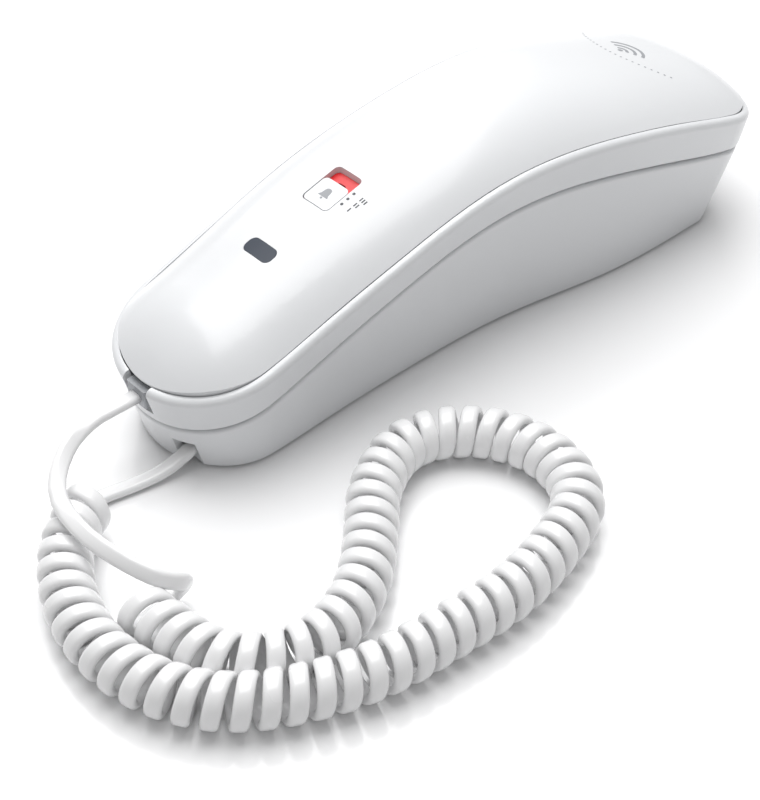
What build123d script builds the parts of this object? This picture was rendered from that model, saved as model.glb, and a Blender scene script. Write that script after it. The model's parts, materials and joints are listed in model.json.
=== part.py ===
"""Slimline wall telephone: a handset lying on its base, with its curly cord.

Frame: +Y runs from the mouthpiece end, where the cord leaves, to the earpiece end, +X is to the
right of a person who looks from the cord end, and +Z is up.  The origin is on the floor under the
middle of the telephone.  Sizes are in millimetres.
"""

import os
from math import copysign, hypot, pi, prod, radians, sin, tan

from build123d import *

# ---------------------------------------------------------------- driving dimensions

half_length = 107.5
rim_width = 2.6  # from the outer edge of the rim to the seam of the top cover

# Outlines in plan: (reach of the near end, where its rounding starts, half widths at the width
# stations, where the far end's rounding starts, reach of the far end)
width_stations = (-84.0, -45.0, 0.0, 45.0, 85.0)
rim_outline = (107.5, 83.5, (26.9, 28.5, 29.4, 33.6, 34.8), 85.0, 107.5)
band_outline = (104.6, 82.5, (24.9, 26.5, 27.4, 31.6, 32.8), 85.0, 105.0)
floor_outline = (100.8, 82.0, (22.2, 20.5, 21.2, 28.0, 28.6), 79.0, 95.3)
side_steps = 8
block_bottom = 0.0
block_top = 72.0

# Heights along the telephone, at these stations
stations = (-107.5, -50.0, 0.0, 50.0, 107.5)
seam_heights = (25.1, 41.8, 52.1, 47.6, 32.0)
gap_heights = (13.4, 31.6, 41.5, 35.3, 23.1)
crown = 8.8  # how far the top cover stands above its seam
crown_power = 2.6

wall = 2.0
seam_gap = 0.3
cover_lip = 1.6  # depth of the cover's edge below the seam
parting_gap = 0.8  # between the handset's lower edge and the base
rim_radius = 1.7
edge_radius = 0.6
lip_radius = 1.0

# Underside of the handset: mouth pad, keypad and ear pad
tray_inset = 5.0
mouth_z = 15.0
keypad_z = 31.0
ear_z = 20.0
mouth_ramp = (-59.0, -45.0)
ear_ramp = (40.0, 52.0)
ramp_radius = 5.0
well_gap = 1.0  # between that underside and the well that it lies in
key_clearance = 1.4  # extra depth of the well under the keys
well_side_gap = 0.8

# Lamp window and ringer switch on the top cover
lens_y = -64.8
lens_length = 10.0
lens_width = 4.6
lens_depth = 2.4
lens_gap = 0.1
switch_y = -42.5
knob_length = 8.4
knob_width = 9.4
knob_travel = 4.2
slot_gap = 0.3
slot_depth = 2.6
knob_height = 2.2
flag_thickness = 0.8

# Keypad
key_pitch_x = 11.0
key_pitch_y = 9.6
first_row_y = 26.0
key_size = (8.6, 6.6)
function_key_size = (8.6, 4.4)
function_row_y = -14.5
key_gap = 0.3
key_stand = 1.4
key_flange = 0.8
key_rim = 0.7
key_travel = 1.0
mat_gap = 1.4
mat_thickness = 1.0
dome_radius = 1.5
board_thickness = 1.6
digit_names = ("1", "2", "3", "4", "5", "6", "7", "8", "9", "star", "0", "hash")
function_names = ("flash", "redial", "mute")

# Earpiece and microphone
ear_y = 74.0
receiver_radius = 16.0
receiver_height = 8.0
gasket_height = 1.0
mic_y = -76.0
mic_radius = 4.85
mic_height = 4.5
boot_wall = 1.2

# Modular plug, the same at both ends of the cord, and its sockets
plug_width = 7.65
plug_height = 6.5
plug_length = 11.7
socket_gap = 0.1
socket_wall = 1.4
socket_roof = 0.8
socket_back = 1.4  # room behind the plug for the contact wires
handset_plug_z = 20.75
handset_plug_y = -106.5
base_plug_x = 10.6
base_plug_y = -94.5
cord_slot_half = 3.0
cord_slot_top = 9.0
base_plug_z = 7.2
line_socket = (12.4, 15.0, 12.0)
line_opening = (9.8, 12.0, 6.8)

# Screws
screw_radius = 1.0
screw_head_radius = 2.0
screw_head_height = 1.2
boss_radius = 3.0
boss_hole = 1.1
pilot_hole = 1.05

# Base
floor_clearance = 1.0
floor_thickness = 2.0
hook_y = 60.0
plunger_radius = 3.0
plunger_gap = 0.06
plunger_travel = 4.0
keyhole_spacing = 83.8

# Cord: flat section in the real object, round along its loose ends here
cord_width = 4.5
coil_diameter = 13.8

handset_tail = (
    (0, -106.52, 20.75),
    (0, -113, 20.75),
    (-1.2, -122, 19.4),
    (3, -131.5, 17.8),
    (12.5, -140.5, 16.6),
    (27, -142.6, 15),
    (40, -140.5, 12.8),
    (49.5, -134, 11.2),
)
coil_route = (
    (47.5, -141.7, 6.9),
    (56.5, -141.5, 6.9),
    (75.5, -137.8, 6.9),
    (84.5, -120.0, 6.9),
    (79.4, -101.5, 6.9),
    (67.3, -87.3, 6.9),
    (53.6, -74.8, 6.9),
    (45.9, -56.8, 6.9),
    (55.6, -39.6, 6.9),
    (73.7, -32.6, 6.9),
    (92.2, -38.4, 6.9),
    (99.1, -56.8, 6.9),
    (102.3, -74.9, 6.9),
    (100.9, -93.5, 6.9),
    (99.3, -112.1, 6.9),
    (93.3, -129.6, 6.9),
    (83.1, -145.7, 6.9),
    (67.0, -155.1, 6.9),
    (48.0, -156.8, 6.9),
    (30.2, -151.2, 6.9),
    (15.3, -139.6, 6.9),
    (11.8, -130.7, 6.9),
)
base_tail = (
    (11.8, -130.7, 6.9),
    (6.5, -123.5, 3.6),
    (8.8, -114, 2.4),
    (10.6, -103.8, 3.4),
    (10.6, -94.52, 7.2),
)

os.makedirs("parts", exist_ok=True)
pieces = {}


# ---------------------------------------------------------------- shapes shared by the shells


def height_curve(heights):
    """Smooth height along the telephone through the five station heights."""

    def height(y):
        return sum(
            value * prod((y - other) / (here - other) for other in stations if other != here)
            for here, value in zip(stations, heights)
        )

    return height


seam = height_curve(seam_heights)
gap = height_curve(gap_heights)


def half_width(halves, y):
    """Smooth half width through the values at the width stations, level beyond the outer ones."""
    if y <= width_stations[0]:
        return halves[0]
    if y >= width_stations[-1]:
        return halves[-1]
    index = max(number for number, station in enumerate(width_stations[:-1]) if station <= y)
    low, high = width_stations[index : index + 2]
    span = high - low
    slopes = []
    for number in (index, index + 1):
        if 0 < number < len(width_stations) - 1:
            rise = halves[number + 1] - halves[number - 1]
            slopes.append(rise / (width_stations[number + 1] - width_stations[number - 1]))
        else:
            slopes.append(0.0)
    share = (y - low) / span
    rest = 1 - share
    return (
        (1 + 2 * share) * rest**2 * halves[index]
        + share * rest**2 * span * slopes[0]
        + share**2 * (3 - 2 * share) * halves[index + 1]
        - share**2 * rest * span * slopes[1]
    )


def side_points(outline, inset):
    """Plan points along one side, moved in square to the outline."""
    near_start, halves, far_start = outline[1:4]
    points = []
    for step in range(side_steps + 1):
        y = -near_start + (near_start + far_start) * step / side_steps
        slope = (half_width(halves, y + 0.1) - half_width(halves, y - 0.1)) / 0.2
        if step in (0, side_steps):
            slope = 0.0
        length = hypot(1, slope)
        points.append((half_width(halves, y) - inset / length, y + inset * slope / length))
    return points


def on_wall(z, low, high):
    """Point at a height on the straight line through two (x, y, z) points."""
    share = (z - low[2]) / (high[2] - low[2])
    return tuple(low[axis] + share * (high[axis] - low[axis]) for axis in (0, 1))


def wall_outline(z, low, high, inset):
    """Closed plan outline at a height, on the drafted walls through two outlines."""
    (low_outline, low_height), (high_outline, high_height) = low, high
    lows = [(x, y, low_height(y)) for x, y in side_points(low_outline, inset)]
    highs = [(x, y, high_height(y)) for x, y in side_points(high_outline, inset)]
    side = [on_wall(z, *pair) for pair in zip(lows, highs)]
    ends = []
    for number, sign in ((0, -1), (-1, 1)):
        reaches = [
            (0, sign * (outline[number] - inset), height(sign * outline[number]))
            for outline, height in (low, high)
        ]
        ends.append(on_wall(z, *reaches)[1])
    (near_x, near_y), (far_x, far_y) = side[0], side[-1]
    with BuildSketch(Plane.XY.offset(z)) as outline:
        with BuildLine():
            EllipticalCenterArc((0, near_y), near_x, near_y - ends[0], -90)
            Spline(*side, tangents=[(0, 1), (0, 1)])
            EllipticalCenterArc((0, far_y), far_x, ends[1] - far_y)
            mirror(about=Plane.YZ)
        make_face()
    return outline.sketch


def drafted_block(low, high, inset=0.0):
    """Tall block with straight drafted walls through two outlines, each with its height curve."""
    sections = [wall_outline(z, low, high, inset) for z in (block_bottom, block_top)]
    with BuildPart() as block:
        loft(sections, ruled=True)
    return block.part


def handset_block(inset=0.0):
    return drafted_block((band_outline, gap), (rim_outline, seam), inset)


def base_block(inset=0.0):
    return drafted_block((floor_outline, lambda y: 0.0), (band_outline, gap), inset)


profile_ys = [half_length * (step - 8) / 7.5 for step in range(17)]
slab_half_width = 60.0


def profile_slab(low, high):
    """Slab across the telephone between two heights, each a number or a height curve."""
    with BuildPart() as slab:
        with BuildSketch(Plane.YZ.offset(-slab_half_width)):
            with BuildLine():
                edges_along = []
                for height in (low, high):
                    if callable(height):
                        edges_along.append(Spline(*[(y, height(y)) for y in profile_ys]))
                    else:
                        edges_along.append(Line((profile_ys[0], height), (profile_ys[-1], height)))
                Line(edges_along[0] @ 0, edges_along[1] @ 0)
                Line(edges_along[0] @ 1, edges_along[1] @ 1)
            make_face()
        extrude(amount=2 * slab_half_width)
    return slab.part


def above(height, amount):
    """The height curve moved up by an amount."""
    return lambda y: height(y) + amount


def tray_slab(raised, keypad_drop=0.0):
    """Slab above the handset's underside, which steps from mouth pad to keypad to ear pad."""
    keypad_height = keypad_z + raised - keypad_drop
    underside = [
        (profile_ys[0], mouth_z + raised),
        (mouth_ramp[0], mouth_z + raised),
        (mouth_ramp[1], keypad_height),
        (ear_ramp[0], keypad_height),
        (ear_ramp[1], ear_z + raised),
        (profile_ys[-1], ear_z + raised),
    ]
    with BuildPart() as slab:
        with BuildSketch(Plane.YZ.offset(-slab_half_width)):
            with BuildLine():
                lower = FilletPolyline(*underside, radius=ramp_radius)
                Polyline(
                    lower @ 1, (profile_ys[-1], block_top), (profile_ys[0], block_top), lower @ 0
                )
            make_face()
        extrude(amount=2 * slab_half_width)
    return slab.part


crown_half_x = 35.0
crown_bottom = 2.0


def crown_height(x, y):
    """Height of the cover's outer surface: a cushion that meets the seam all round."""
    near_reach, near_start, halves, far_start, far_reach = rim_outline
    beyond = max(-y - near_start, 0) / (near_reach - rim_width - near_start)
    if y > far_start:
        beyond = (y - far_start) / (far_reach - rim_width - far_start)
    across = abs(x) / (half_width(halves, y) - rim_width)
    share = across**crown_power + beyond**crown_power
    return seam(y) + crown * (1 - share)


def crown_block(drop=0.0):
    """Everything below the cover's outer surface, moved down by a drop."""
    columns = 21
    rows = 61
    grid = []
    for row in range(rows):
        y = half_length * (2 * row / (rows - 1) - 1)
        line = []
        for column in range(columns):
            x = crown_half_x * (2 * column / (columns - 1) - 1)
            line.append(Vector(x, y, crown_height(x, y) - drop))
        grid.append(line)
    surface = Face.make_surface_from_array_of_points(grid, tol=0.02)
    with BuildPart() as block:
        extrude(surface, amount=90, dir=(0, 0, -1))
    return block.part


def post(x, y, radius, low, high):
    """Upright cylinder between two heights."""
    with BuildPart() as cylinder:
        with BuildSketch(Plane.XY.offset(low)):
            with Locations((x, y)):
                Circle(radius)
        extrude(amount=high - low)
    return cylinder.part


def brick(low, high):
    """Box between two corners."""
    centre = tuple((a + b) / 2 for a, b in zip(low, high))
    with BuildPart() as box:
        with Locations(centre):
            Box(*[b - a for a, b in zip(low, high)])
    return box.part


# ---------------------------------------------------------------- handset shells

cavity_floor = above(gap, wall)
shell_screws = [(side * x, y) for x, y in ((12.5, -84.0), (20.5, 64.0)) for side in (-1, 1)]
receiver_seat = ear_z + wall
mic_seat = mouth_z + wall

rim_slab = profile_slab(gap, seam)
tray_block = handset_block(tray_inset)
below_seam = profile_slab(block_bottom, seam)
wide_cavity = handset_block(rim_width - seam_gap / 2)
above_band_floor = profile_slab(cavity_floor, block_top)
narrow_cavity = handset_block(tray_inset + wall)
above_tray_floor = tray_slab(wall)

with BuildPart() as upper_cavity:
    add(wide_cavity)
    add(above_band_floor, mode=Mode.INTERSECT)

with BuildPart() as lower_cavity:
    add(narrow_cavity)
    add(above_tray_floor, mode=Mode.INTERSECT)

with BuildPart() as handset_rim:
    add(handset_block())
    add(rim_slab, mode=Mode.INTERSECT)
    top_edges = handset_rim.edges().filter_by(
        lambda edge: abs(edge.center().Z - seam(edge.center().Y)) < 1
    )
    fillet(top_edges, rim_radius)
    lower_edges = handset_rim.edges().filter_by(
        lambda edge: abs(edge.center().Z - gap(edge.center().Y)) < 1
    )
    fillet(lower_edges, edge_radius)

with BuildPart() as handset_tray:
    add(tray_block)
    add(tray_slab(0), mode=Mode.INTERSECT)
    add(below_seam, mode=Mode.INTERSECT)

function_xs = [(1 - column) * key_pitch_x for column in range(3)]
key_places = [
    (name, (1 - number % 3) * key_pitch_x, first_row_y - number // 3 * key_pitch_y, key_size)
    for number, name in enumerate(digit_names)
] + [
    (name, x, function_row_y, function_key_size) for name, x in zip(function_names, function_xs)
]


def key_prism(x, y, size, grow, low, high, corner=1.6):
    """Upright rounded rectangle between two heights."""
    with BuildPart() as prism:
        with BuildSketch(Plane.XY.offset(low)):
            with Locations((x, y)):
                RectangleRounded(size[0] + 2 * grow, size[1] + 2 * grow, corner + grow / 2)
        extrude(amount=high - low)
    return prism.part


socket_half = plug_width / 2 + socket_gap + socket_wall
handset_notch_low = handset_plug_z - plug_height / 2 - socket_gap - 0.6
handset_notch = brick(
    (-plug_width / 2 - 0.9, -120, handset_notch_low),
    (plug_width / 2 + 0.9, -100, block_top),
)
jack_low = handset_plug_z - plug_height / 2 - socket_gap - socket_roof
jack_high = handset_plug_z + plug_height / 2 + socket_gap + socket_roof
jack_pocket = brick((-5.6, -120 + 16, jack_low - 0.1), (5.6, -86, jack_high))
cover_notch = brick((-5.6, -120, 0), (5.6, -86, jack_high + 0.3))
ear_hole_rings = ((0, 1), (3.4, 6), (6.8, 12))

with BuildPart() as handset_front_shell:
    add(handset_rim.part)
    add(handset_tray.part)
    add(upper_cavity.part, mode=Mode.SUBTRACT)
    add(lower_cavity.part, mode=Mode.SUBTRACT)
    for x, y in shell_screws:
        floor_z = mouth_z if y < 0 else ear_z
        add(post(x, y, boss_radius, floor_z, floor_z + 6))
    # Ring walls that seat the receiver and the microphone
    for y, seat, radius, tall in (
        (ear_y, receiver_seat, receiver_radius, 5),
        (mic_y, mic_seat, mic_radius + boot_wall, 4),
    ):
        with BuildSketch(Plane.XY.offset(seat - 0.5)):
            with Locations((0, y)):
                Circle(radius + 0.3 + 1.2)
                Circle(radius + 0.3, mode=Mode.SUBTRACT)
        extrude(amount=tall)
    for x, y in shell_screws:
        floor_z = mouth_z if y < 0 else ear_z
        add(post(x, y, boss_hole, floor_z - 1, floor_z + 7), mode=Mode.SUBTRACT)
        add(post(x, y, screw_head_radius + 0.4, floor_z - 1, floor_z + 2), mode=Mode.SUBTRACT)
    for name, x, y, size in key_places:
        hole = key_prism(x, y, size, key_gap, keypad_z - 2, keypad_z + wall + 1)
        add(hole, mode=Mode.SUBTRACT)
    with BuildSketch(Plane.XY.offset(ear_z - 1)):
        for ring_radius, count in ear_hole_rings:
            with Locations((0, ear_y)):
                with PolarLocations(ring_radius, count):
                    Circle(0.8)
    extrude(amount=wall + 2, mode=Mode.SUBTRACT)
    with BuildSketch(Plane.XY.offset(mouth_z - 1)):
        with Locations((0, mic_y)):
            SlotOverall(5, 1.4)
    extrude(amount=wall + 2, mode=Mode.SUBTRACT)
    add(handset_notch, mode=Mode.SUBTRACT)
    add(jack_pocket, mode=Mode.SUBTRACT)

pieces["handset_front_shell"] = handset_front_shell.part

cover_inset = rim_width + seam_gap / 2
lens_box = (lens_length, lens_width)
switch_slot = (knob_width + 2 * slot_gap, knob_length + knob_travel + 2 * slot_gap)
switch_slot_y = switch_y + knob_travel / 2


def top_prism(y, size, low_drop, high_drop, corner):
    """Rounded rectangle through the cover, between two depths below its outer surface."""
    with BuildPart() as prism:
        with BuildSketch(Plane.XY.offset(30)):
            with Locations((0, y)):
                RectangleRounded(*size, corner)
        extrude(amount=60)
        add(crown_block(high_drop), mode=Mode.INTERSECT)
        add(crown_block(low_drop), mode=Mode.SUBTRACT)
    return prism.part


with BuildPart() as cover_hollow:
    add(handset_block(cover_inset + wall))
    add(crown_block(wall), mode=Mode.INTERSECT)

with BuildPart() as handset_back_cover:
    add(handset_block(cover_inset))
    add(crown_block(), mode=Mode.INTERSECT)
    add(profile_slab(above(seam, -cover_lip), block_top), mode=Mode.INTERSECT)
    add(cover_hollow.part, mode=Mode.SUBTRACT)
    # Tray under the switch slot, closed by the knob and the red flag
    slot_tray = (switch_slot[0] + 2.4, switch_slot[1] + 2.4)
    add(top_prism(switch_slot_y, slot_tray, slot_depth + 1.6, wall - 0.2, 1.8))
    for x, y in shell_screws:
        floor_z = mouth_z if y < 0 else ear_z
        top_z = crown_height(abs(x) + boss_radius, y + copysign(boss_radius, y)) - wall / 2
        add(post(x, y, boss_radius, floor_z + 6.1, top_z))
        add(post(x, y, pilot_hole, floor_z + 6, floor_z + 15), mode=Mode.SUBTRACT)
    add(
        top_prism(lens_y, (lens_length + 2 * lens_gap, lens_width + 2 * lens_gap), 8, -2, 1.9),
        mode=Mode.SUBTRACT,
    )
    add(top_prism(switch_slot_y, switch_slot, slot_depth, -2, 1.5), mode=Mode.SUBTRACT)
    stem_slot = (3.4, knob_travel + 3.4)
    add(top_prism(switch_slot_y, stem_slot, slot_depth + 6, -2, 1.0), mode=Mode.SUBTRACT)
    add(cover_notch, mode=Mode.SUBTRACT)
pieces["handset_back_cover"] = handset_back_cover.part

pieces["indicator_lens"] = top_prism(lens_y, lens_box, lens_depth, 0, 1.8)

# ---------------------------------------------------------------- ringer switch

knob_size = (knob_width, knob_length)
knob_stem = (3.0, 3.0)
with BuildPart() as ringer_knob:
    add(top_prism(switch_y, knob_size, slot_depth - flag_thickness - 0.3, 0.1, 1.4))
    add(top_prism(switch_y, knob_stem, slot_depth + 3.2, 1, 0.6))
pieces["ringer_knob"] = ringer_knob.part

with BuildPart() as ringer_flag:
    flag_size = (switch_slot[0] - 0.2, switch_slot[1] - 0.2)
    add(top_prism(switch_slot_y, flag_size, slot_depth, slot_depth - flag_thickness, 1.4))
    add(top_prism(switch_slot_y, stem_slot, slot_depth + 2, 0, 1.0), mode=Mode.SUBTRACT)
pieces["ringer_flag"] = ringer_flag.part

switch_top = crown_height(0, switch_y) - slot_depth - 3.6
with BuildPart() as ringer_switch:
    add(brick((-5.5, switch_slot_y - 7, switch_top - 5), (5.5, switch_slot_y + 7, switch_top)))
    for y in (switch_slot_y - 6, switch_slot_y + 6):
        add(brick((-0.3, y - 0.3, switch_top - 7), (0.3, y + 0.3, switch_top - 5)))
pieces["ringer_switch"] = ringer_switch.part

lamp_top = crown_height(0, lens_y) - lens_depth - 1.2
with BuildPart() as indicator_lamp:
    with BuildSketch(Plane.XY.offset(lamp_top - 4.5)) as lamp_base:
        with Locations((0, lens_y)):
            Circle(1.9)
    extrude(amount=0.8)
    with BuildSketch(Plane.XY.offset(lamp_top - 3.7)):
        with Locations((0, lens_y)):
            Circle(1.5)
    extrude(amount=3.7)
    fillet(indicator_lamp.faces().sort_by(Axis.Z)[-1].edges(), 1.3)
    for x in (-1.27, 1.27):
        add(brick((x - 0.25, lens_y - 0.25, lamp_top - 10), (x + 0.25, lens_y + 0.25, lamp_top - 4.5)))
pieces["indicator_lamp"] = indicator_lamp.part

# ---------------------------------------------------------------- keypad

flange_z = keypad_z + wall + 0.1
mat_z = flange_z + key_flange + mat_gap
board_z = mat_z + mat_thickness + 0.9
keypad_centre_y = 6.0
keypad_half = (15.8, 26.5)

for name, x, y, size in key_places:
    with BuildPart() as key:
        add(key_prism(x, y, size, 0, keypad_z - key_stand, flange_z + key_flange))
        fillet(key.faces().sort_by(Axis.Z)[0].edges(), 0.6)
        add(key_prism(x, y, size, key_rim, flange_z, flange_z + key_flange))
        with BuildSketch(Plane.XY.offset(flange_z + key_flange - 1.6)):
            with Locations((x, y)):
                Circle(dome_radius + 0.4)
        extrude(amount=2, mode=Mode.SUBTRACT)
    pieces[f"key_{name}"] = key.part

with BuildPart() as keypad_mat:
    add(
        brick(
            (-keypad_half[0], keypad_centre_y - keypad_half[1], mat_z),
            (keypad_half[0], keypad_centre_y + keypad_half[1], mat_z + mat_thickness),
        )
    )
    for name, x, y, size in key_places:
        add(post(x, y, dome_radius, mat_z - mat_gap + 0.1, mat_z + 0.5))
        add(post(x, y, 1.2, mat_z + 0.5, board_z - 0.4))
pieces["keypad_mat"] = keypad_mat.part

with BuildPart() as keypad_board:
    add(
        brick(
            (-keypad_half[0], keypad_centre_y - keypad_half[1], board_z),
            (keypad_half[0], keypad_centre_y + keypad_half[1], board_z + board_thickness),
        )
    )
    add(brick((-9, 0, board_z + board_thickness), (-1, 10, board_z + board_thickness + 2.2)))
    for x, y in ((8, 4), (8, -6), (9, 20)):
        add(post(x, y, 2.5, board_z + board_thickness, board_z + board_thickness + 6))
    for y in (-10, -5, 16, 22):
        add(brick((-12, y, board_z + board_thickness), (-6, y + 2, board_z + board_thickness + 1.8)))
pieces["keypad_board"] = keypad_board.part

# ---------------------------------------------------------------- earpiece and microphone

with BuildPart() as receiver_gasket:
    with BuildSketch(Plane.XY.offset(receiver_seat)):
        with Locations((0, ear_y)):
            Circle(receiver_radius)
            Circle(receiver_radius - 5, mode=Mode.SUBTRACT)
    extrude(amount=gasket_height)
pieces["receiver_gasket"] = receiver_gasket.part

receiver_z = receiver_seat + gasket_height
with BuildPart() as receiver:
    add(post(0, ear_y, receiver_radius, receiver_z, receiver_z + 3))
    add(post(0, ear_y, receiver_radius - 4, receiver_z + 3, receiver_z + receiver_height))
    fillet(receiver.faces().sort_by(Axis.Z)[-1].edges(), 0.8)
pieces["receiver"] = receiver.part

with BuildPart() as microphone:
    mic_base = mic_seat + boot_wall
    add(post(0, mic_y, mic_radius, mic_base, mic_base + mic_height))
pieces["microphone"] = microphone.part

with BuildPart() as microphone_boot:
    add(post(0, mic_y, mic_radius + boot_wall, mic_seat, mic_seat + boot_wall + mic_height - 0.5))
    add(post(0, mic_y, mic_radius, mic_base, mic_base + mic_height), mode=Mode.SUBTRACT)
    add(post(0, mic_y, 1.5, mic_seat - 1, mic_base + 1), mode=Mode.SUBTRACT)
pieces["microphone_boot"] = microphone_boot.part

# ---------------------------------------------------------------- modular sockets and plugs


def socket_body(x, z, mouth_y, plug_face_y, shell):
    """Modular socket that faces -Y, trimmed to the inside of its shell."""
    half_wide = plug_width / 2 + socket_gap
    half_tall = plug_height / 2 + socket_gap
    back_y = plug_face_y + plug_length + socket_back
    with BuildPart() as body:
        add(
            brick(
                (x - half_wide - socket_wall, mouth_y, z - half_tall - socket_roof),
                (x + half_wide + socket_wall, back_y + socket_wall, z + half_tall + socket_roof),
            )
        )
        add(
            brick((x - half_wide, mouth_y - 1, z - half_tall), (x + half_wide, back_y, z + half_tall)),
            mode=Mode.SUBTRACT,
        )
        add(shell, mode=Mode.INTERSECT)
    return body.part


def socket_contacts(x, y, z, count):
    """Flat gold wires at the back of a socket."""
    with BuildPart() as wires:
        for number in range(count):
            wire_x = x + (number - (count - 1) / 2) * 1.02
            add(brick((wire_x - 0.2, y, z), (wire_x + 0.2, y + 1.0, z + 2.4)))
    return wires.part


def modular_plug(x, y, z):
    """Clear plug with its latch; the cord leaves its face at y, towards -Y."""
    with BuildPart() as plug:
        add(
            brick(
                (x - plug_width / 2, y, z - plug_height / 2 + 1.2),
                (x + plug_width / 2, y + plug_length, z + plug_height / 2),
            )
        )
        chamfer(plug.edges().filter_by(Axis.Z), 0.4)
        add(
            brick(
                (x - 1.6, y + 1.0, z - plug_height / 2),
                (x + 1.6, y + plug_length - 3.5, z - plug_height / 2 + 0.8),
            )
        )
        add(
            brick(
                (x - 1.6, y + plug_length - 4.5, z - plug_height / 2),
                (x + 1.6, y + plug_length - 3.0, z - plug_height / 2 + 1.5),
            )
        )
    return plug.part


handset_socket_y = handset_plug_y + 2.6
base_socket_y = base_plug_y + 3.2
pieces["handset_plug"] = modular_plug(0, handset_plug_y, handset_plug_z)
pieces["base_plug"] = modular_plug(base_plug_x, base_plug_y, base_plug_z)
pieces["handset_cord_jack"] = socket_body(
    0, handset_plug_z, handset_socket_y, handset_plug_y, handset_block(rim_width + 0.4)
)
pieces["base_cord_jack"] = socket_body(
    base_plug_x, base_plug_z, base_socket_y, base_plug_y, base_block(wall + 0.3)
)
contact_gap = plug_length + 0.1
pieces["handset_jack_contacts"] = socket_contacts(
    0, handset_plug_y + contact_gap, handset_plug_z, 4
)
pieces["base_jack_contacts"] = socket_contacts(
    base_plug_x, base_plug_y + contact_gap, base_plug_z, 4
)

with BuildPart() as handset_weight:
    add(brick((-8, 22, 44), (8, 34, 52)))
    fillet(handset_weight.edges().filter_by(Axis.Z), 1.5)
pieces["handset_weight"] = handset_weight.part


def screw(x, y, head_z, reach):
    """Pan-head screw that points up, its head's underside at head_z."""
    with BuildPart() as body:
        add(post(x, y, screw_head_radius, head_z - screw_head_height, head_z))
        add(post(x, y, screw_radius, head_z, head_z + reach))
        with BuildSketch(Plane.XY.offset(head_z - screw_head_height)):
            with Locations((x, y)):
                Rectangle(2.4, 0.5)
                Rectangle(0.5, 2.4)
        extrude(amount=0.6, mode=Mode.SUBTRACT)
    return body.part


with BuildPart() as handset_screws:
    for x, y in shell_screws:
        floor_z = mouth_z if y < 0 else ear_z
        add(screw(x, y, floor_z + 2, 10))
pieces["handset_screws"] = handset_screws.part

# ---------------------------------------------------------------- base shells

base_top = above(gap, -parting_gap)
cradle_screws = [(side * x, y) for x, y in ((12.5, -76.0), (17.0, 30.0)) for side in (-1, 1)]
well_inset = tray_inset - well_side_gap
line_jack_y = 94.2
line_jack_z = 4.2 + line_socket[2] / 2

with BuildPart() as cradle_outside:
    add(base_block())
    add(profile_slab(floor_clearance, base_top), mode=Mode.INTERSECT)
    rim_edges = cradle_outside.edges().filter_by(
        lambda edge: abs(edge.center().Z - base_top(edge.center().Y)) < 1
    )
    fillet(rim_edges, lip_radius)

with BuildPart() as well:
    add(handset_block(well_inset))
    add(tray_slab(-well_gap, key_clearance), mode=Mode.INTERSECT)

with BuildPart() as well_walls:
    add(handset_block(well_inset - wall))
    add(tray_slab(-well_gap - wall, key_clearance), mode=Mode.INTERSECT)

with BuildPart() as cradle_hollow:
    add(base_block(wall))
    add(profile_slab(block_bottom, above(gap, -parting_gap - wall)), mode=Mode.INTERSECT)
    add(well_walls.part, mode=Mode.SUBTRACT)

with BuildPart() as base_cradle:
    add(cradle_outside.part)
    add(cradle_hollow.part, mode=Mode.SUBTRACT)
    for x, y in cradle_screws:
        boss_bottom = floor_clearance + floor_thickness + 0.1
        boss_top = (keypad_z - key_clearance if y > 0 else mouth_z) - well_gap - wall / 2
        add(post(x, y, boss_radius, boss_bottom, boss_top))
        add(post(x, y, pilot_hole, boss_bottom - 1, boss_bottom + 7), mode=Mode.SUBTRACT)
    add(well.part, mode=Mode.SUBTRACT)
    add(post(0, hook_y, plunger_radius + plunger_gap, 10, 30), mode=Mode.SUBTRACT)
    # Slot for the curly cord, under the near end
    add(
        brick(
            (base_plug_x - cord_slot_half, -112, 0),
            (base_plug_x + cord_slot_half, base_plug_y - 2.5, cord_slot_top),
        ),
        mode=Mode.SUBTRACT,
    )
    # Mouth of the line socket, in the far end
    add(
        brick(
            (-line_opening[0] / 2, line_jack_y - 4, line_jack_z - line_opening[2] / 2),
            (line_opening[0] / 2, 112, line_jack_z + line_opening[2] / 2),
        ),
        mode=Mode.SUBTRACT,
    )
pieces["base_cradle"] = base_cradle.part

floor_low = floor_clearance + 0.2
floor_high = floor_clearance + floor_thickness
feet_places = [(side * x, y) for x, y in ((11.0, -86.0), (17.0, 74.0)) for side in (-1, 1)]
keyhole_ys = (-keyhole_spacing / 2, keyhole_spacing / 2)

with BuildPart() as base_floor:
    add(base_block(wall + 0.3))
    add(profile_slab(floor_low, floor_high), mode=Mode.INTERSECT)
    for x, y in cradle_screws:
        add(post(x, y, boss_hole, 0, floor_high + 1), mode=Mode.SUBTRACT)
        add(post(x, y, screw_head_radius + 0.3, 0, floor_high - 0.6), mode=Mode.SUBTRACT)
    for x, y in feet_places:
        add(post(x, y, 4.1, 0, floor_low + 0.6), mode=Mode.SUBTRACT)
    # Keyholes for the studs of a wall plate
    for y in keyhole_ys:
        add(post(0, y - 5, 4.2, 0, floor_high + 1), mode=Mode.SUBTRACT)
        add(brick((-2.1, y - 5, 0), (2.1, y + 3, floor_high + 1)), mode=Mode.SUBTRACT)
        add(post(0, y + 3, 2.1, 0, floor_high + 1), mode=Mode.SUBTRACT)
    add(
        brick(
            (base_plug_x - plug_width / 2 - 0.8, -112, 0),
            (base_plug_x + plug_width / 2 + 0.8, base_plug_y + 2, 5),
        ),
        mode=Mode.SUBTRACT,
    )
pieces["base_floor"] = base_floor.part

with BuildPart() as rubber_feet:
    for x, y in feet_places:
        add(post(x, y, 4.0, 0, floor_low + 0.5))
pieces["rubber_feet"] = rubber_feet.part

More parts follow.
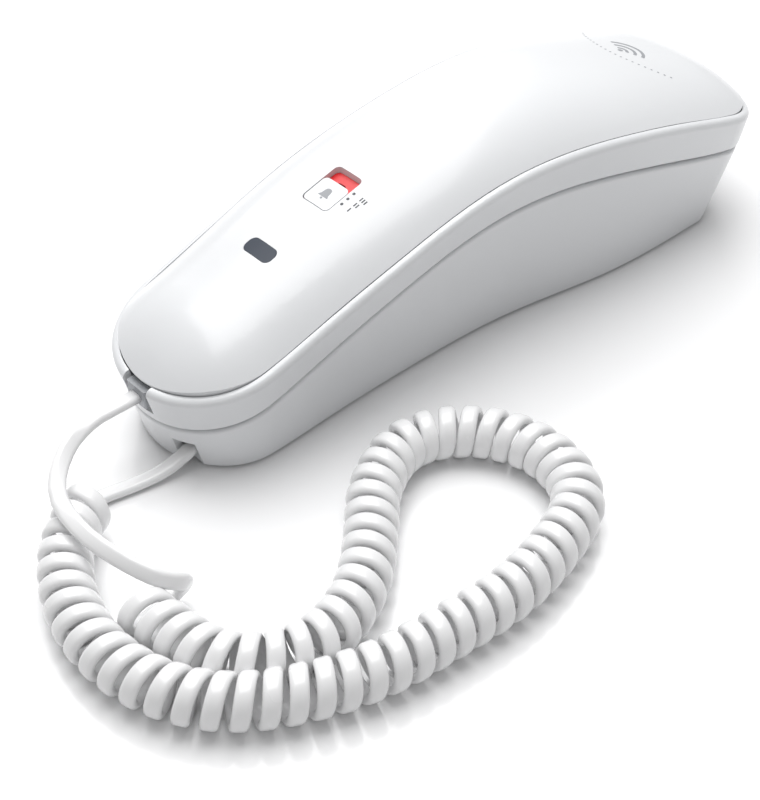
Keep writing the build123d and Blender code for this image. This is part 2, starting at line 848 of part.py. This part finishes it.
with BuildPart() as base_screws:
    for x, y in cradle_screws:
        add(screw(x, y, floor_high - 0.6, 6.5))
pieces["base_screws"] = base_screws.part

# ---------------------------------------------------------------- inside the base

plate_z = floor_high + 0.1
pieces["ballast_plate"] = brick((-9, -72, plate_z), (9, -54, plate_z + 4))

base_board_z = floor_high + 2.5
board_top = base_board_z + board_thickness
with BuildPart() as base_board:
    add(brick((-14, -6, base_board_z), (14, 68, board_top)))
    for x, y in cradle_screws:
        add(post(x, y, boss_radius + 0.5, 0, 20), mode=Mode.SUBTRACT)
    # Room for the head of a wall stud
    add(post(0, keyhole_ys[1] - 1, 9.0, 0, 20), mode=Mode.SUBTRACT)
    for x, y in ((7, 0), (7, 10), (-8, 14)):
        add(post(x, y, 3, board_top, board_top + 8))
    add(brick((-10, 0, board_top), (-2, 8, board_top + 3)))
    for y in (-4, 20, 26):
        add(brick((-8, y, board_top), (-2, y + 2, board_top + 2)))
pieces["base_board"] = base_board.part

plunger_top = ear_z - 0.1
flange_low = 12.0
with BuildPart() as hook_plunger:
    add(post(0, hook_y, plunger_radius, flange_low, plunger_top))
    fillet(hook_plunger.faces().sort_by(Axis.Z)[-1].edges(), 0.8)
    add(post(0, hook_y, 4.4, flange_low, flange_low + 0.8))
    add(post(0, hook_y, 1.2, flange_low - 3, flange_low))
pieces["hook_plunger"] = hook_plunger.part

spring_wire = 0.35
with BuildPart() as hook_spring:
    spring_low = board_top + spring_wire + 0.05
    spring_high = flange_low - spring_wire - 0.05
    with BuildLine(Plane.XY.offset(spring_low)) as coil_line:
        Helix((spring_high - spring_low) / 4, spring_high - spring_low, 3.0, (0, 0, 0))
    start = coil_line.line @ 0
    with BuildSketch(Plane(origin=start, z_dir=coil_line.line % 0)):
        Circle(spring_wire)
    sweep()
pieces["hook_spring"] = hook_spring.part.moved(Location((0, hook_y, 0)))

with BuildPart() as hook_switch:
    add(brick((6.2, hook_y - 5, board_top), (12.5, hook_y + 5, board_top + 5)))
    add(brick((5.2, hook_y - 0.8, board_top + 3.2), (6.2, hook_y + 0.8, board_top + 4.2)))
pieces["hook_switch"] = hook_switch.part

sounder_place = (0, -20.5)
sounder_radius = 12.5
sounder_wall = 1.5
with BuildPart() as ringer_housing:
    with BuildSketch(Plane.XY.offset(plate_z)):
        with Locations(sounder_place):
            Circle(sounder_radius)
            Circle(sounder_radius - sounder_wall, mode=Mode.SUBTRACT)
    extrude(amount=5)
    with BuildSketch(Plane.XY.offset(plate_z)):
        with Locations(sounder_place):
            Circle(sounder_radius - sounder_wall)
            Circle(sounder_radius - sounder_wall - 1.2, mode=Mode.SUBTRACT)
    extrude(amount=2.5)
pieces["ringer_housing"] = ringer_housing.part
disc_z = plate_z + 2.6
pieces["ringer_disc"] = post(*sounder_place, sounder_radius - sounder_wall - 0.2, disc_z, disc_z + 0.8)

with BuildPart() as line_jack:
    width, depth, tall = line_socket
    add(
        brick(
            (-width / 2, line_jack_y - depth, line_jack_z - tall / 2),
            (width / 2, line_jack_y, line_jack_z + tall / 2),
        )
    )
    add(
        brick(
            (-line_opening[0] / 2, line_jack_y - line_opening[1], line_jack_z - line_opening[2] / 2),
            (line_opening[0] / 2, line_jack_y + 1, line_jack_z + line_opening[2] / 2),
        ),
        mode=Mode.SUBTRACT,
    )
pieces["line_jack"] = line_jack.part
wires_y = line_jack_y - line_opening[1] + 0.2
pieces["line_jack_contacts"] = socket_contacts(0, wires_y, line_jack_z, 4)

# ---------------------------------------------------------------- cord


def corner_radii(points):
    """As large a radius at each corner as its two runs allow."""
    radii = []
    for before, here, after in zip(points, points[1:], points[2:]):
        run_in = Vector(*here) - Vector(*before)
        run_out = Vector(*after) - Vector(*here)
        half_turn = radians(run_in.get_angle(run_out)) / 2
        radii.append(0.45 * min(run_in.length, run_out.length) / tan(half_turn))
    return radii


def cord_tube(points, diameter):
    """Round tube along straight runs joined by tangent arcs."""
    radii = corner_radii(points)
    with BuildPart() as tube:
        with BuildLine() as route:
            FilletPolyline(*points, radius=radii)
        path = route.wire()
        with BuildSketch(Plane(origin=points[0], z_dir=path % 0)):
            Circle(diameter / 2)
        sweep(path=path)
    expected = pi * diameter**2 / 4 * path.length
    print("cord radii", [round(radius, 1) for radius in radii], "length", round(path.length, 1))
    print("volume", round(tube.part.volume), "expected", round(expected))
    return tube.part


pieces["cord_tail_handset"] = cord_tube(handset_tail, cord_width)
pieces["cord_coil"] = cord_tube(coil_route, coil_diameter)
pieces["cord_tail_base"] = cord_tube(base_tail, cord_width)

# ---------------------------------------------------------------- write the pieces

for name, piece in pieces.items():
    piece.label = name
    export_step(piece, f"parts/{name}.step")
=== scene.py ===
"""Slimline wall telephone: materials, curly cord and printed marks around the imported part."""

import json
from math import cos, pi, radians, sin

import bmesh
import bpy
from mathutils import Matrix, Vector
from mathutils.bvhtree import BVHTree


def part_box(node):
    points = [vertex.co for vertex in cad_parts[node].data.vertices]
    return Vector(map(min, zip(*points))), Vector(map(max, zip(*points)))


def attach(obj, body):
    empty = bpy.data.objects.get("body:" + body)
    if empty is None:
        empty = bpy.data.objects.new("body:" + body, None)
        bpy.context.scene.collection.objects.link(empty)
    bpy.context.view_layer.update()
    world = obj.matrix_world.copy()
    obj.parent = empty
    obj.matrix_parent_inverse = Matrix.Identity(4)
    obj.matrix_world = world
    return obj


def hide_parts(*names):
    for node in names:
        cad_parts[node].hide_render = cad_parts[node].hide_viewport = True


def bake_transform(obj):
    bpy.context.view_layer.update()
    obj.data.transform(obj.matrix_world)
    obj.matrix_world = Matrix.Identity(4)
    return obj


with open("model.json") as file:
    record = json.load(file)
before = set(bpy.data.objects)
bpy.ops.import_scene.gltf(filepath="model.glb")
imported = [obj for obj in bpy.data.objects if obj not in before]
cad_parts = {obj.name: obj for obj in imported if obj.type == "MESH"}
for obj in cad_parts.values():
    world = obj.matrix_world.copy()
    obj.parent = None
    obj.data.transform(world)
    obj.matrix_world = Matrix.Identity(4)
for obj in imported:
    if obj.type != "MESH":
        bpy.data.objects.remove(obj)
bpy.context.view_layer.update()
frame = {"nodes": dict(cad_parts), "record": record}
nodes = frame["nodes"]
mm = 0.001

# ---------------------------------------------------------------- camera, floor and lights

view_azimuth = radians(47.85)
view_elevation = radians(40.9)
view_distance = 437.2 * mm
view_target = Vector((50.22, -69.14, 30.0)) * mm
view_lens = 80.9


def make_camera():
    """Camera at the viewing angle, looking level along its own horizon."""
    outward = Vector(
        (
            sin(view_azimuth) * cos(view_elevation),
            -cos(view_azimuth) * cos(view_elevation),
            sin(view_elevation),
        )
    )
    data = bpy.data.cameras.new("camera")
    data.lens = view_lens
    data.sensor_width = 36.0
    camera = bpy.data.objects.new("camera", data)
    camera.location = view_target + outward * view_distance
    camera.rotation_euler = (-outward).to_track_quat("-Z", "Y").to_euler()
    bpy.context.scene.collection.objects.link(camera)
    bpy.context.scene.camera = camera


def area_light(name, place, towards, size, power):
    """Soft square light."""
    data = bpy.data.lights.new(name, "AREA")
    data.shape = "RECTANGLE"
    data.size, data.size_y = size
    data.energy = power
    light = bpy.data.objects.new(name, data)
    light.location = place
    light.rotation_euler = (Vector(towards) - Vector(place)).to_track_quat("-Z", "Y").to_euler()
    bpy.context.scene.collection.objects.link(light)


def make_lights():
    world = bpy.data.worlds.new("studio")
    world.use_nodes = True
    world.node_tree.nodes["Background"].inputs["Color"].default_value = (1, 1, 1, 1)
    world.node_tree.nodes["Background"].inputs["Strength"].default_value = 0.42
    bpy.context.scene.world = world
    area_light("overhead", (-0.25, 0.1, 1.1), (0, 0, 0), (1.0, 1.0), 12.5)
    area_light("back_left", (-0.9, 0.5, 0.7), (0, 0, 0.03), (0.9, 0.9), 5.0)


def make_floor():
    bpy.ops.mesh.primitive_plane_add(size=6)
    floor = bpy.context.object
    floor.name = "studio_floor"
    floor.data.materials.append(floor_material())


# ---------------------------------------------------------------- materials


def material(name, colour, roughness, **sockets):
    """Principled material and its shader node."""
    made = bpy.data.materials.new(name)
    made.use_nodes = True
    shader = made.node_tree.nodes["Principled BSDF"]
    shader.inputs["Base Color"].default_value = (*colour, 1)
    shader.inputs["Roughness"].default_value = roughness
    for socket, value in sockets.items():
        shader.inputs[socket.replace("_", " ")].default_value = value
    return made, shader


def texture(made, kind, scale, detail=2.0):
    """Noise or another pattern in object coordinates."""
    tree = made.node_tree
    place = tree.nodes.new("ShaderNodeTexCoord")
    pattern = tree.nodes.new(kind)
    pattern.inputs["Scale"].default_value = scale
    if "Detail" in pattern.inputs:
        pattern.inputs["Detail"].default_value = detail
    tree.links.new(place.outputs["Object"], pattern.inputs["Vector"])
    return pattern


def add_bump(made, shader, kind, scale, strength, distance):
    """Fine surface relief from a pattern."""
    pattern = texture(made, kind, scale)
    bump = made.node_tree.nodes.new("ShaderNodeBump")
    bump.inputs["Strength"].default_value = strength
    bump.inputs["Distance"].default_value = distance
    height = "Distance" if kind == "ShaderNodeTexVoronoi" else "Factor"
    made.node_tree.links.new(
        pattern.outputs.get(height) or pattern.outputs[0], bump.inputs["Height"]
    )
    made.node_tree.links.new(bump.outputs["Normal"], shader.inputs["Normal"])


def vary(made, shader, socket, scale, low, high):
    """Slow variation of a colour or a number over the surface, between two values."""
    pattern = texture(made, "ShaderNodeTexNoise", scale, 3.0)
    ramp = made.node_tree.nodes.new("ShaderNodeValToRGB")
    ramp.color_ramp.elements[0].position = 0.3
    ramp.color_ramp.elements[1].position = 0.7
    for stop, value in zip(ramp.color_ramp.elements, (low, high)):
        stop.color = (*value, 1) if isinstance(value, tuple) else (value, value, value, 1)
    made.node_tree.links.new(pattern.outputs[0], ramp.inputs["Fac"])
    made.node_tree.links.new(ramp.outputs["Color"], shader.inputs[socket])


def floor_material():
    return material("floor_white", (0.92, 0.92, 0.925), 0.16, Specular_IOR_Level=0.5)[0]


def moulded(name, colour, roughness, grain=900.0, strength=0.06, **sockets):
    """Injection-moulded plastic: fine grain and slightly uneven gloss."""
    made, shader = material(name, colour, roughness, **sockets)
    add_bump(made, shader, "ShaderNodeTexNoise", grain, strength, 0.05 * mm)
    vary(made, shader, "Roughness", 60.0, roughness * 0.92, roughness * 1.08)
    darker = tuple(0.985 * channel for channel in colour)
    vary(made, shader, "Base Color", 25.0, darker, colour)
    return made


def clear_plastic(name, colour, alpha, roughness):
    made, shader = material(name, colour, roughness, Alpha=alpha, Coat_Weight=0.4)
    add_bump(made, shader, "ShaderNodeTexNoise", 300.0, 0.05, 0.05 * mm)
    return made


def metal(name, colour, roughness, grain):
    """Metal with a drawn or plated texture."""
    made, shader = material(name, colour, roughness, Metallic=1.0)
    add_bump(made, shader, "ShaderNodeTexNoise", grain, 0.15, 0.05 * mm)
    vary(made, shader, "Roughness", 80.0, roughness * 0.8, roughness * 1.2)
    return made


def circuit_board():
    """Green solder mask with a slightly uneven tone."""
    made, shader = material("circuit_green", (0.03, 0.16, 0.06), 0.35)
    vary(made, shader, "Base Color", 260.0, (0.02, 0.13, 0.05), (0.05, 0.22, 0.09))
    add_bump(made, shader, "ShaderNodeTexNoise", 500.0, 0.1, 0.05 * mm)
    return made


def rubber(name, colour):
    made, shader = material(name, colour, 0.75)
    add_bump(made, shader, "ShaderNodeTexNoise", 1500.0, 0.25, 0.05 * mm)
    vary(made, shader, "Base Color", 90.0, tuple(0.85 * c for c in colour), colour)
    return made


white = (0.745, 0.755, 0.77)
slot_materials = {
    "shell_white": moulded("shell_white", white, 0.30, Coat_Weight=0.25, Coat_Roughness=0.12),
    "key_white": moulded("key_white", (0.80, 0.80, 0.805), 0.32),
    "smoked_window": moulded(
        "smoked_window", (0.035, 0.045, 0.065), 0.30, 300.0, 0.02, Specular_IOR_Level=0.25
    ),
    "lamp_clear": clear_plastic("lamp_clear", (0.70, 0.06, 0.05), 0.8, 0.1),
    "flag_red": moulded("flag_red", (0.72, 0.02, 0.025), 0.35),
    "switch_black": moulded("switch_black", (0.02, 0.02, 0.02), 0.5),
    "silicone_grey": rubber("silicone_grey", (0.40, 0.41, 0.42)),
    "circuit_board": circuit_board(),
    "foam_black": rubber("foam_black", (0.03, 0.03, 0.03)),
    "capsule_black": moulded("capsule_black", (0.025, 0.025, 0.028), 0.45),
    "aluminium_can": metal("aluminium_can", (0.75, 0.76, 0.77), 0.3, 700.0),
    "rubber_black": rubber("rubber_black", (0.03, 0.03, 0.032)),
    "plug_clear": clear_plastic("plug_clear", (0.62, 0.64, 0.67), 0.45, 0.08),
    "socket_grey": moulded("socket_grey", (0.10, 0.10, 0.11), 0.4),
    "contact_gold": metal("contact_gold", (0.83, 0.62, 0.25), 0.25, 900.0),
    "steel_plain": metal("steel_plain", (0.45, 0.46, 0.48), 0.4, 400.0),
    "screw_steel": metal("screw_steel", (0.42, 0.43, 0.44), 0.3, 900.0),
    "spring_steel": metal("spring_steel", (0.55, 0.55, 0.57), 0.25, 900.0),
    "plunger_white": moulded("plunger_white", (0.75, 0.75, 0.74), 0.4),
    "piezo_brass": metal("piezo_brass", (0.75, 0.55, 0.24), 0.3, 500.0),
    "cord_white": moulded("cord_white", (0.84, 0.84, 0.845), 0.26, Coat_Weight=0.3),
}


def paint_nodes():
    """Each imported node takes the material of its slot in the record."""
    for entry in frame["record"]["subparts"]:
        node = nodes[entry["node"]]
        node.data.materials.clear()
        node.data.materials.append(slot_materials[entry["material_slot"]])


# ---------------------------------------------------------------- curly cord

cord_width = 4.5 * mm
cord_thickness = 2.5 * mm
coil_radius = 6.9 * mm  # outside
coil_turns = 63.75
points_per_turn = 16
first_angle = pi  # the first turn starts under the coil
tail_facing = (0.7, -0.5, 0.5)  # that the flat side of the handset's loose end turns to

handset_tail = (
    (0, -106.52, 20.75),
    (0, -113, 20.75),
    (-1.2, -122, 19.4),
    (3, -131.5, 17.8),
    (12.5, -140.5, 16.6),
    (27, -142.6, 16.2),
    (40, -140.5, 15.6),
    (48.5, -136.5, 13.2),
    (50.5, -131.5, 10.5),
    (48.6, -128.6, 6.8),
    (46.8, -131.5, 2.4),
    (47.0, -136.5, 1.6),
)
coil_route = (
    (47.5, -141.7, 6.9),
    (56.5, -141.5, 6.9),
    (75.5, -137.8, 6.9),
    (84.5, -120.0, 6.9),
    (79.4, -101.5, 6.9),
    (67.3, -87.3, 6.9),
    (53.6, -74.8, 6.9),
    (45.9, -56.8, 6.9),
    (55.6, -39.6, 6.9),
    (73.7, -32.6, 6.9),
    (92.2, -38.4, 6.9),
    (99.1, -56.8, 6.9),
    (102.3, -74.9, 6.9),
    (100.9, -93.5, 6.9),
    (99.3, -112.1, 6.9),
    (93.3, -129.6, 6.9),
    (83.1, -145.7, 6.9),
    (67.0, -155.1, 6.9),
    (48.0, -156.8, 6.9),
    (30.2, -151.2, 6.9),
    (15.3, -139.6, 6.9),
    (11.8, -130.7, 6.9),
)
base_tail = (
    (6.4, -129.5, 2.4),
    (6.6, -123.5, 1.6),
    (8.8, -114, 1.6),
    (10.6, -103.8, 2.6),
    (10.6, -94.52, 7.2),
)


def smooth_line(points, steps):
    """Points along the NURBS line that has these control points."""
    curve = bpy.data.curves.new("route", "CURVE")
    curve.dimensions = "3D"
    curve.resolution_u = steps
    spline = curve.splines.new("NURBS")
    spline.points.add(len(points) - 1)
    for place, point in zip(spline.points, points):
        place.co = (*point, 1)
    spline.order_u = 3
    spline.use_endpoint_u = True
    holder = bpy.data.objects.new("route", curve)
    mesh = bpy.data.meshes.new_from_object(holder)
    line = [vertex.co.copy() for vertex in mesh.vertices]
    bpy.data.meshes.remove(mesh)
    bpy.data.objects.remove(holder)
    bpy.data.curves.remove(curve)
    return line


def lengths_along(line):
    total = [0.0]
    for before, here in zip(line, line[1:]):
        total.append(total[-1] + (here - before).length)
    return total


def at_length(line, along, wanted):
    """Point and direction of a line at a length along it."""
    index = 0
    while index < len(along) - 2 and along[index + 1] < wanted:
        index += 1
    share = (wanted - along[index]) / (along[index + 1] - along[index])
    point = line[index].lerp(line[index + 1], share)
    return point, (line[index + 1] - line[index]).normalized()


def helix():
    """Control points of the coil's turns, each with the coil's own direction there."""
    line = smooth_line([Vector(point) * mm for point in coil_route], 24)
    along = lengths_along(line)
    radius = coil_radius - cord_thickness / 2
    steps = round(coil_turns * points_per_turn)
    made = []
    for step in range(steps + 1):
        centre, forward = at_length(line, along, along[-1] * step / steps)
        sideways = forward.cross(Vector((0, 0, 1))).normalized()
        angle = first_angle + 2 * pi * step / points_per_turn
        offset = Vector((0, 0, cos(angle))) - sideways * sin(angle)
        made.append((centre + offset * radius, forward))
    return made


def tail_controls(points, facing=(0, 0, 1)):
    """Control points of a loose end, each with the direction across the cord.

    The flat side faces up at both ends and turns to another direction in between.
    """
    places = [Vector(point) * mm for point in points]
    made = []
    for index, place in enumerate(places):
        before = places[max(index - 1, 0)]
        after = places[min(index + 1, len(places) - 1)]
        turned = 2 <= index < len(places) - 3
        face = Vector(facing if turned else (0, 0, 1))
        made.append((place, (after - before).cross(face).normalized()))
    return made


def section_outline():
    """Flat section with fully rounded edges, as (across, out) pairs."""
    edge = cord_thickness / 2
    flat = cord_width / 2 - edge
    outline = []
    for side in (1, -1):
        for step in range(7):
            angle = pi / 2 - pi * step / 6
            outline.append((side * (flat + edge * cos(angle)), side * edge * sin(angle)))
    return outline


def make_cord():
    controls = tail_controls(handset_tail, tail_facing) + helix() + tail_controls(base_tail)
    widths = [controls[0][1]]
    for _, across in controls[1:]:
        widths.append(across if across.dot(widths[-1]) > 0 else -across)
    steps = 3
    line = smooth_line([place for place, _ in controls], steps)
    outline = section_outline()
    work = bmesh.new()
    rings = []
    for index, place in enumerate(line):
        before = line[max(index - 1, 0)]
        after = line[min(index + 1, len(line) - 1)]
        forward = (after - before).normalized()
        position = index / (len(line) - 1) * (len(widths) - 1)
        low = min(int(position), len(widths) - 2)
        across = widths[low].lerp(widths[low + 1], position - low)
        across = (across - forward * across.dot(forward)).normalized()
        out = across.cross(forward)
        rings.append([work.verts.new(place + across * a + out * b) for a, b in outline])
    count = len(outline)
    for ring, next_ring in zip(rings, rings[1:]):
        for number in range(count):
            following = (number + 1) % count
            work.faces.new((ring[number], ring[following], next_ring[following], next_ring[number]))
    work.faces.new(reversed(rings[0]))
    work.faces.new(rings[-1])
    bmesh.ops.recalc_face_normals(work, faces=work.faces)
    mesh = bpy.data.meshes.new("curly_cord")
    work.to_mesh(mesh)
    work.free()
    mesh.polygons.foreach_set("use_smooth", [True] * len(mesh.polygons))
    cord = bpy.data.objects.new("curly_cord", mesh)
    bpy.context.scene.collection.objects.link(cord)
    mesh.materials.append(slot_materials["cord_white"])
    print("cord length", lengths_along(line)[-1])
    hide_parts("cord_coil", "cord_tail_handset", "cord_tail_base")
    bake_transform(cord)


# ---------------------------------------------------------------- printed marks

mark_lift = 0.03 * mm
ray_height = 0.2  # above everything that is printed on
digit_height = 5.0 * mm
knob_y = -42.5
bell_size = 3.4
level_pitch = 2.1
level_dot_x = 6.2
level_bar_x = 9.0
level_bar_pitch = 0.8
emblem_y = 70.5
emblem_radii = (2.0, 4.4, 6.8)
emblem_arc = (25, 155)  # degrees
dot_row_radius = 24
dot_row_y = 90
dot_row_step = 4.6  # degrees
dot_row_half = 10


def surface_of(node_name):
    """Ray-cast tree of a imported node, in scene coordinates."""
    node = nodes[node_name]
    places = [node.matrix_world @ vertex.co for vertex in node.data.vertices]
    return BVHTree.FromPolygons(places, [tuple(face.vertices) for face in node.data.polygons])


def disc(x, y, radius, count=24):
    return [
        (x + radius * cos(2 * pi * step / count), y + radius * sin(2 * pi * step / count))
        for step in range(count)
    ]


def arc_band(x, y, radius, width, start, end, steps=24):
    """Part of a ring between two angles in degrees, as quadrilaterals."""
    quads = []
    for step in range(steps):
        first = radians(start + (end - start) * step / steps)
        second = radians(start + (end - start) * (step + 1) / steps)
        inner, outer = radius - width / 2, radius + width / 2
        quads.append(
            [
                (x + inner * cos(first), y + inner * sin(first)),
                (x + outer * cos(first), y + outer * sin(first)),
                (x + outer * cos(second), y + outer * sin(second)),
                (x + inner * cos(second), y + inner * sin(second)),
            ]
        )
    return quads


def bar(x, y, width, height):
    return [
        (x - width / 2, y - height / 2),
        (x + width / 2, y - height / 2),
        (x + width / 2, y + height / 2),
        (x - width / 2, y + height / 2),
    ]


def bell(x, y, size):
    """Small bell: its body in strips, its rim and its clapper."""
    halves = ((0.5, 0.10), (0.42, 0.26), (0.2, 0.34), (-0.1, 0.38), (-0.36, 0.54))
    shapes = [
        [
            (x - size * wide, y + size * high),
            (x + size * wide, y + size * high),
            (x + size * next_wide, y + size * next_high),
            (x - size * next_wide, y + size * next_high),
        ]
        for (high, wide), (next_high, next_wide) in zip(halves, halves[1:])
    ]
    shapes.append(disc(x, y - size * 0.5, size * 0.11, 12))
    return shapes


def print_on(name, node_name, shapes, body, colour):
    """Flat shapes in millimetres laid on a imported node's upper surface."""
    surface = surface_of(node_name)
    work = bmesh.new()
    for shape in shapes:
        corners = []
        for x, y in shape:
            place, normal = surface.ray_cast(Vector((x * mm, y * mm, ray_height)), Vector((0, 0, -1)))[:2]
            if normal.z < 0:
                normal = -normal
            corners.append(work.verts.new(place + normal * mark_lift))
        work.faces.new(corners)
    bmesh.ops.recalc_face_normals(work, faces=work.faces)
    mesh = bpy.data.meshes.new(name)
    work.to_mesh(mesh)
    work.free()
    finish_mark(name, mesh, body, colour)


def finish_mark(name, mesh, body, colour):
    mark = bpy.data.objects.new(name, mesh)
    bpy.context.scene.collection.objects.link(mark)
    mesh.materials.append(mark_materials[colour])
    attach(mark, body)


mark_materials = {
    "print_grey": moulded("print_grey", (0.30, 0.31, 0.33), 0.45),
    "print_dark": moulded("print_dark", (0.06, 0.06, 0.07), 0.45),
}


def make_cover_marks():
    emblem = []
    for radius in emblem_radii:
        emblem += arc_band(0, emblem_y, radius, 1.0, *emblem_arc)
    emblem.append(disc(0, emblem_y, 0.8))
    for step in range(-dot_row_half, dot_row_half + 1):
        angle = radians(-90 + step * dot_row_step)
        dot_x = dot_row_radius * sin(angle + pi / 2)
        emblem.append(disc(dot_x, dot_row_y + dot_row_radius * sin(angle), 0.34, 10))
    print_on("emblem", "handset_back_cover", emblem, "handset", "print_grey")
    levels = []
    for number in range(3):
        y = knob_y + level_pitch * number
        levels.append(disc(level_dot_x, y, 0.45, 16))
        for count in range(number + 1):
            levels.append(bar(level_bar_x + level_bar_pitch * count, y, 0.4, 1.3))
    print_on("ringer_level_marks", "handset_back_cover", levels, "handset", "print_dark")
    shapes = bell(0, knob_y, bell_size)
    print_on("ringer_bell_mark", "ringer_knob", shapes, "ringer_knob", "print_grey")


def make_key_marks():
    """Digits printed on the dial keys, which face down when the handset lies on its base."""
    for entry in frame["record"]["subparts"]:
        name = entry["node"]
        letters = {"key_star": "*", "key_hash": "#"}.get(name, name.removeprefix("key_"))
        if not name.startswith("key_") or len(letters) > 1:
            continue
        low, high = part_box(name)
        curve = bpy.data.curves.new(name + "_digit", "FONT")
        curve.body = letters
        curve.size = digit_height
        curve.align_x = "CENTER"
        curve.align_y = "CENTER"
        holder = bpy.data.objects.new("digit", curve)
        mesh = bpy.data.meshes.new_from_object(holder)
        centre = (low + high) / 2
        for vertex in mesh.vertices:
            x, y = vertex.co.x, vertex.co.y
            vertex.co = (centre.x - x, centre.y + y, low.z - mark_lift)
        bpy.data.objects.remove(holder)
        finish_mark(name + "_digit", mesh, name, "print_dark")


make_camera()
make_floor()
make_lights()
paint_nodes()
make_cord()
make_cover_marks()
make_key_marks()

bpy.context.scene.view_settings.view_transform = "Standard"
